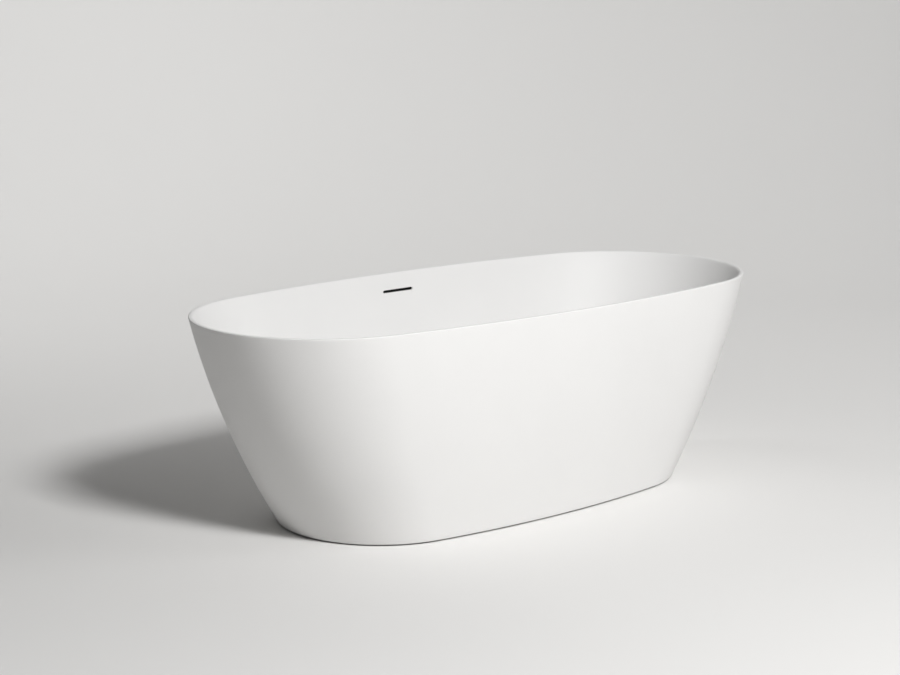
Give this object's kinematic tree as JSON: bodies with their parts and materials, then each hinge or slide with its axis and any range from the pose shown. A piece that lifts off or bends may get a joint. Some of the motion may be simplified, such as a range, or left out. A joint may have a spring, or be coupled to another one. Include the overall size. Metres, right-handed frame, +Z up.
{
  "type": "freestanding bathtub",
  "caption": "Oval double-ended freestanding bath with thin rim, leaning double-skin walls, slot overflow, click waste, drum trap, steel frame and levelling feet.",
  "frame": {"origin": "on the floor under the centre of the bath", "axes": "+X along the bath, +Y towards the overflow side, +Z up"},
  "size_m": [1.7982, 0.7994, 0.58],
  "materials": {
    "shell_white": "matt white, faintly silky",
    "board_wood": "raw birch plywood",
    "frame_steel": "grey powder coat",
    "bracket_zinc": "zinc plated strip",
    "zinc_steel": "zinc plated",
    "black_plastic": "moulded black plastic",
    "black_rubber": "dull rubber",
    "chrome_trim": "polished chrome",
    "brass_turned": "turned brass",
    "stainless": "stainless",
    "grey_hose": "grey hose",
    "white_fitting": "white moulded plastic"
  },
  "bodies": {
    "root": {"base_board": "board_wood", "basin_shell": "shell_white", "board_screws": "zinc_steel", "body_seal": "black_rubber", "bracket_screws": "zinc_steel", "cartridge_cap": "brass_turned", "click_cartridge": "brass_turned", "flange_seal": "black_rubber", "foot_bushes": "zinc_steel", "foot_lock_nuts": "zinc_steel", "frame_crossbar_left": "frame_steel", "frame_crossbar_right": "frame_steel", "frame_rail_back": "frame_steel", "frame_rail_front": "frame_steel", "hose_clamp_bottom": "stainless", "hose_clamp_top": "stainless", "outer_skirt": "shell_white", "overflow_chamber": "black_plastic", "overflow_gasket": "black_rubber", "overflow_pipe": "grey_hose", "skirt_bracket_back_left": "bracket_zinc", "skirt_bracket_back_right": "bracket_zinc", "skirt_bracket_end_back_left": "bracket_zinc", "skirt_bracket_end_back_right": "bracket_zinc", "skirt_bracket_end_front_left": "bracket_zinc", "skirt_bracket_end_front_right": "bracket_zinc", "skirt_bracket_front_left": "bracket_zinc", "skirt_bracket_front_right": "bracket_zinc", "trap_baffle": "white_fitting", "trap_drum": "white_fitting", "trap_lid": "white_fitting", "trap_lid_seal": "black_rubber", "trap_union_nut": "white_fitting", "trap_union_seal": "black_rubber", "tube_end_caps": "black_plastic", "waste_body": "white_fitting", "waste_flange": "chrome_trim", "waste_spring": "stainless"},
    "waste_plug": {"plug_cap": "chrome_trim", "plug_seal": "black_rubber", "plug_stem": "zinc_steel"},
    "foot_front_left": {"foot_pad_front_left": "black_plastic", "foot_sole_front_left": "black_rubber"},
    "stud_front_left": {"foot_stud_front_left": "zinc_steel"},
    "foot_front_right": {"foot_pad_front_right": "black_plastic", "foot_sole_front_right": "black_rubber"},
    "stud_front_right": {"foot_stud_front_right": "zinc_steel"},
    "foot_back_left": {"foot_pad_back_left": "black_plastic", "foot_sole_back_left": "black_rubber"},
    "stud_back_left": {"foot_stud_back_left": "zinc_steel"},
    "foot_back_right": {"foot_pad_back_right": "black_plastic", "foot_sole_back_right": "black_rubber"},
    "stud_back_right": {"foot_stud_back_right": "zinc_steel"}
  },
  "joints": [
    {"name": "plug_lift", "type": "slide", "parent": "root", "child": "waste_plug", "axis": [0, 0, 1], "range_m": [0, 0.008], "deforming": ["waste_spring"]},
    {"name": "foot_travel_front_left", "type": "slide", "parent": "root", "child": "foot_front_left", "axis": [0, 0, -1], "range_m": [0, 0.02]},
    {"name": "stud_turn_front_left", "type": "hinge", "parent": "foot_front_left", "child": "stud_front_left", "pos_m": [-0.38, -0.205, 0.05], "axis": [0, 0, -1], "range_deg": [0, 4114.3]},
    {"name": "foot_travel_front_right", "type": "slide", "parent": "root", "child": "foot_front_right", "axis": [0, 0, -1], "range_m": [0, 0.02]},
    {"name": "stud_turn_front_right", "type": "hinge", "parent": "foot_front_right", "child": "stud_front_right", "pos_m": [0.38, -0.205, 0.05], "axis": [0, 0, -1], "range_deg": [0, 4114.3]},
    {"name": "foot_travel_back_left", "type": "slide", "parent": "root", "child": "foot_back_left", "axis": [0, 0, -1], "range_m": [0, 0.02]},
    {"name": "stud_turn_back_left", "type": "hinge", "parent": "foot_back_left", "child": "stud_back_left", "pos_m": [-0.38, 0.205, 0.05], "axis": [0, 0, -1], "range_deg": [0, 4114.3]},
    {"name": "foot_travel_back_right", "type": "slide", "parent": "root", "child": "foot_back_right", "axis": [0, 0, -1], "range_m": [0, 0.02]},
    {"name": "stud_turn_back_right", "type": "hinge", "parent": "foot_back_right", "child": "stud_back_right", "pos_m": [0.38, 0.205, 0.05], "axis": [0, 0, -1], "range_deg": [0, 4114.3]}
  ],
  "couplings": [
    {"joint": "stud_turn_front_left", "follows": "foot_travel_front_left", "rad_per_m": 3590.4},
    {"joint": "stud_turn_front_right", "follows": "foot_travel_front_right", "rad_per_m": 3590.4},
    {"joint": "stud_turn_back_left", "follows": "foot_travel_back_left", "rad_per_m": 3590.4},
    {"joint": "stud_turn_back_right", "follows": "foot_travel_back_right", "rad_per_m": 3590.4}
  ]
}
